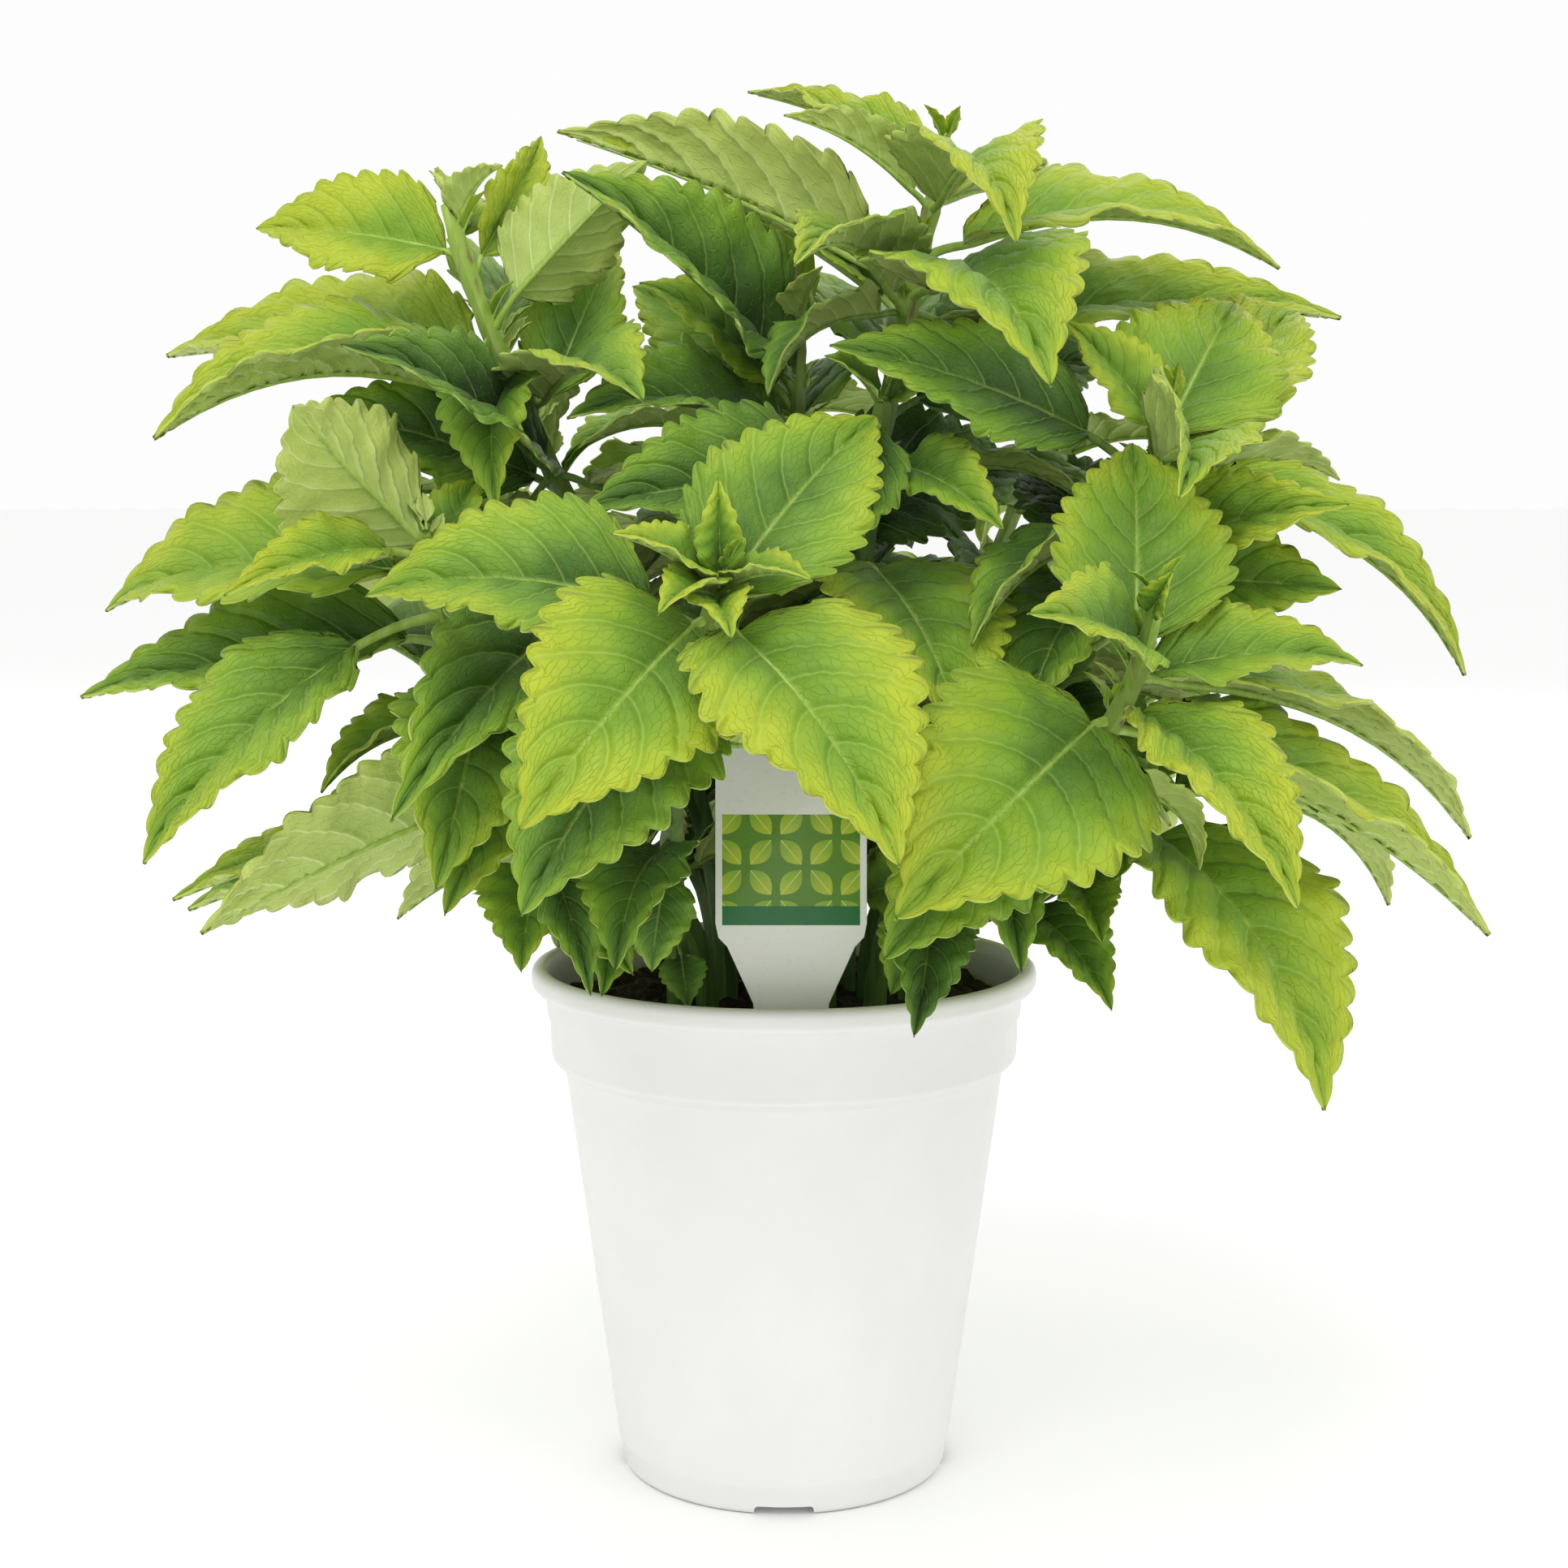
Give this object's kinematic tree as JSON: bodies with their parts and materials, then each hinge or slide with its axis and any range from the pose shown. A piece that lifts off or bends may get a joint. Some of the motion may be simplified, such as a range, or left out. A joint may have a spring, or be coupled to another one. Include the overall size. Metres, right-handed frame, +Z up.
{
  "type": "potted coleus plant",
  "caption": "Bushy lime-green coleus with toothed leaves on square stems, growing in a white plastic grower pot with soil and a plant label.",
  "frame": {"origin": "middle of the pot's underside, on the plane that it stands on", "axes": "+Z up; the plant's fullest side, with the label, looks towards -Y"},
  "size_m": [0.2944, 0.2587, 0.3104],
  "materials": {
    "white_plastic": "slightly warm white, satin",
    "potting_soil": "dark, moist, crumbly",
    "label_plastic": null,
    "leaf_green": "matte, finely hairy leaves, lime green with yellower edges"
  },
  "bodies": {
    "root": {"pot": "white_plastic", "soil": "potting_soil", "plant_label": "label_plastic", "leafy_stem_top_right": "leaf_green", "leafy_stem_top_left": "leaf_green", "leafy_stem_front": "leaf_green", "leafy_stem_right_front": "leaf_green", "leafy_stem_right_upper": "leaf_green", "leafy_stem_right_low": "leaf_green", "leafy_stem_centre": "leaf_green", "leafy_stem_inner": "leaf_green", "leafy_stem_left": "leaf_green", "leafy_stem_left_low": "leaf_green", "leafy_stem_back_left": "leaf_green", "leafy_stem_back": "leaf_green", "leafy_stem_back_right": "leaf_green", "leafy_stem_back_low_left": "leaf_green", "leafy_stem_back_low_right": "leaf_green", "leafy_stem_right_back": "leaf_green"}
  },
  "joints": []
}
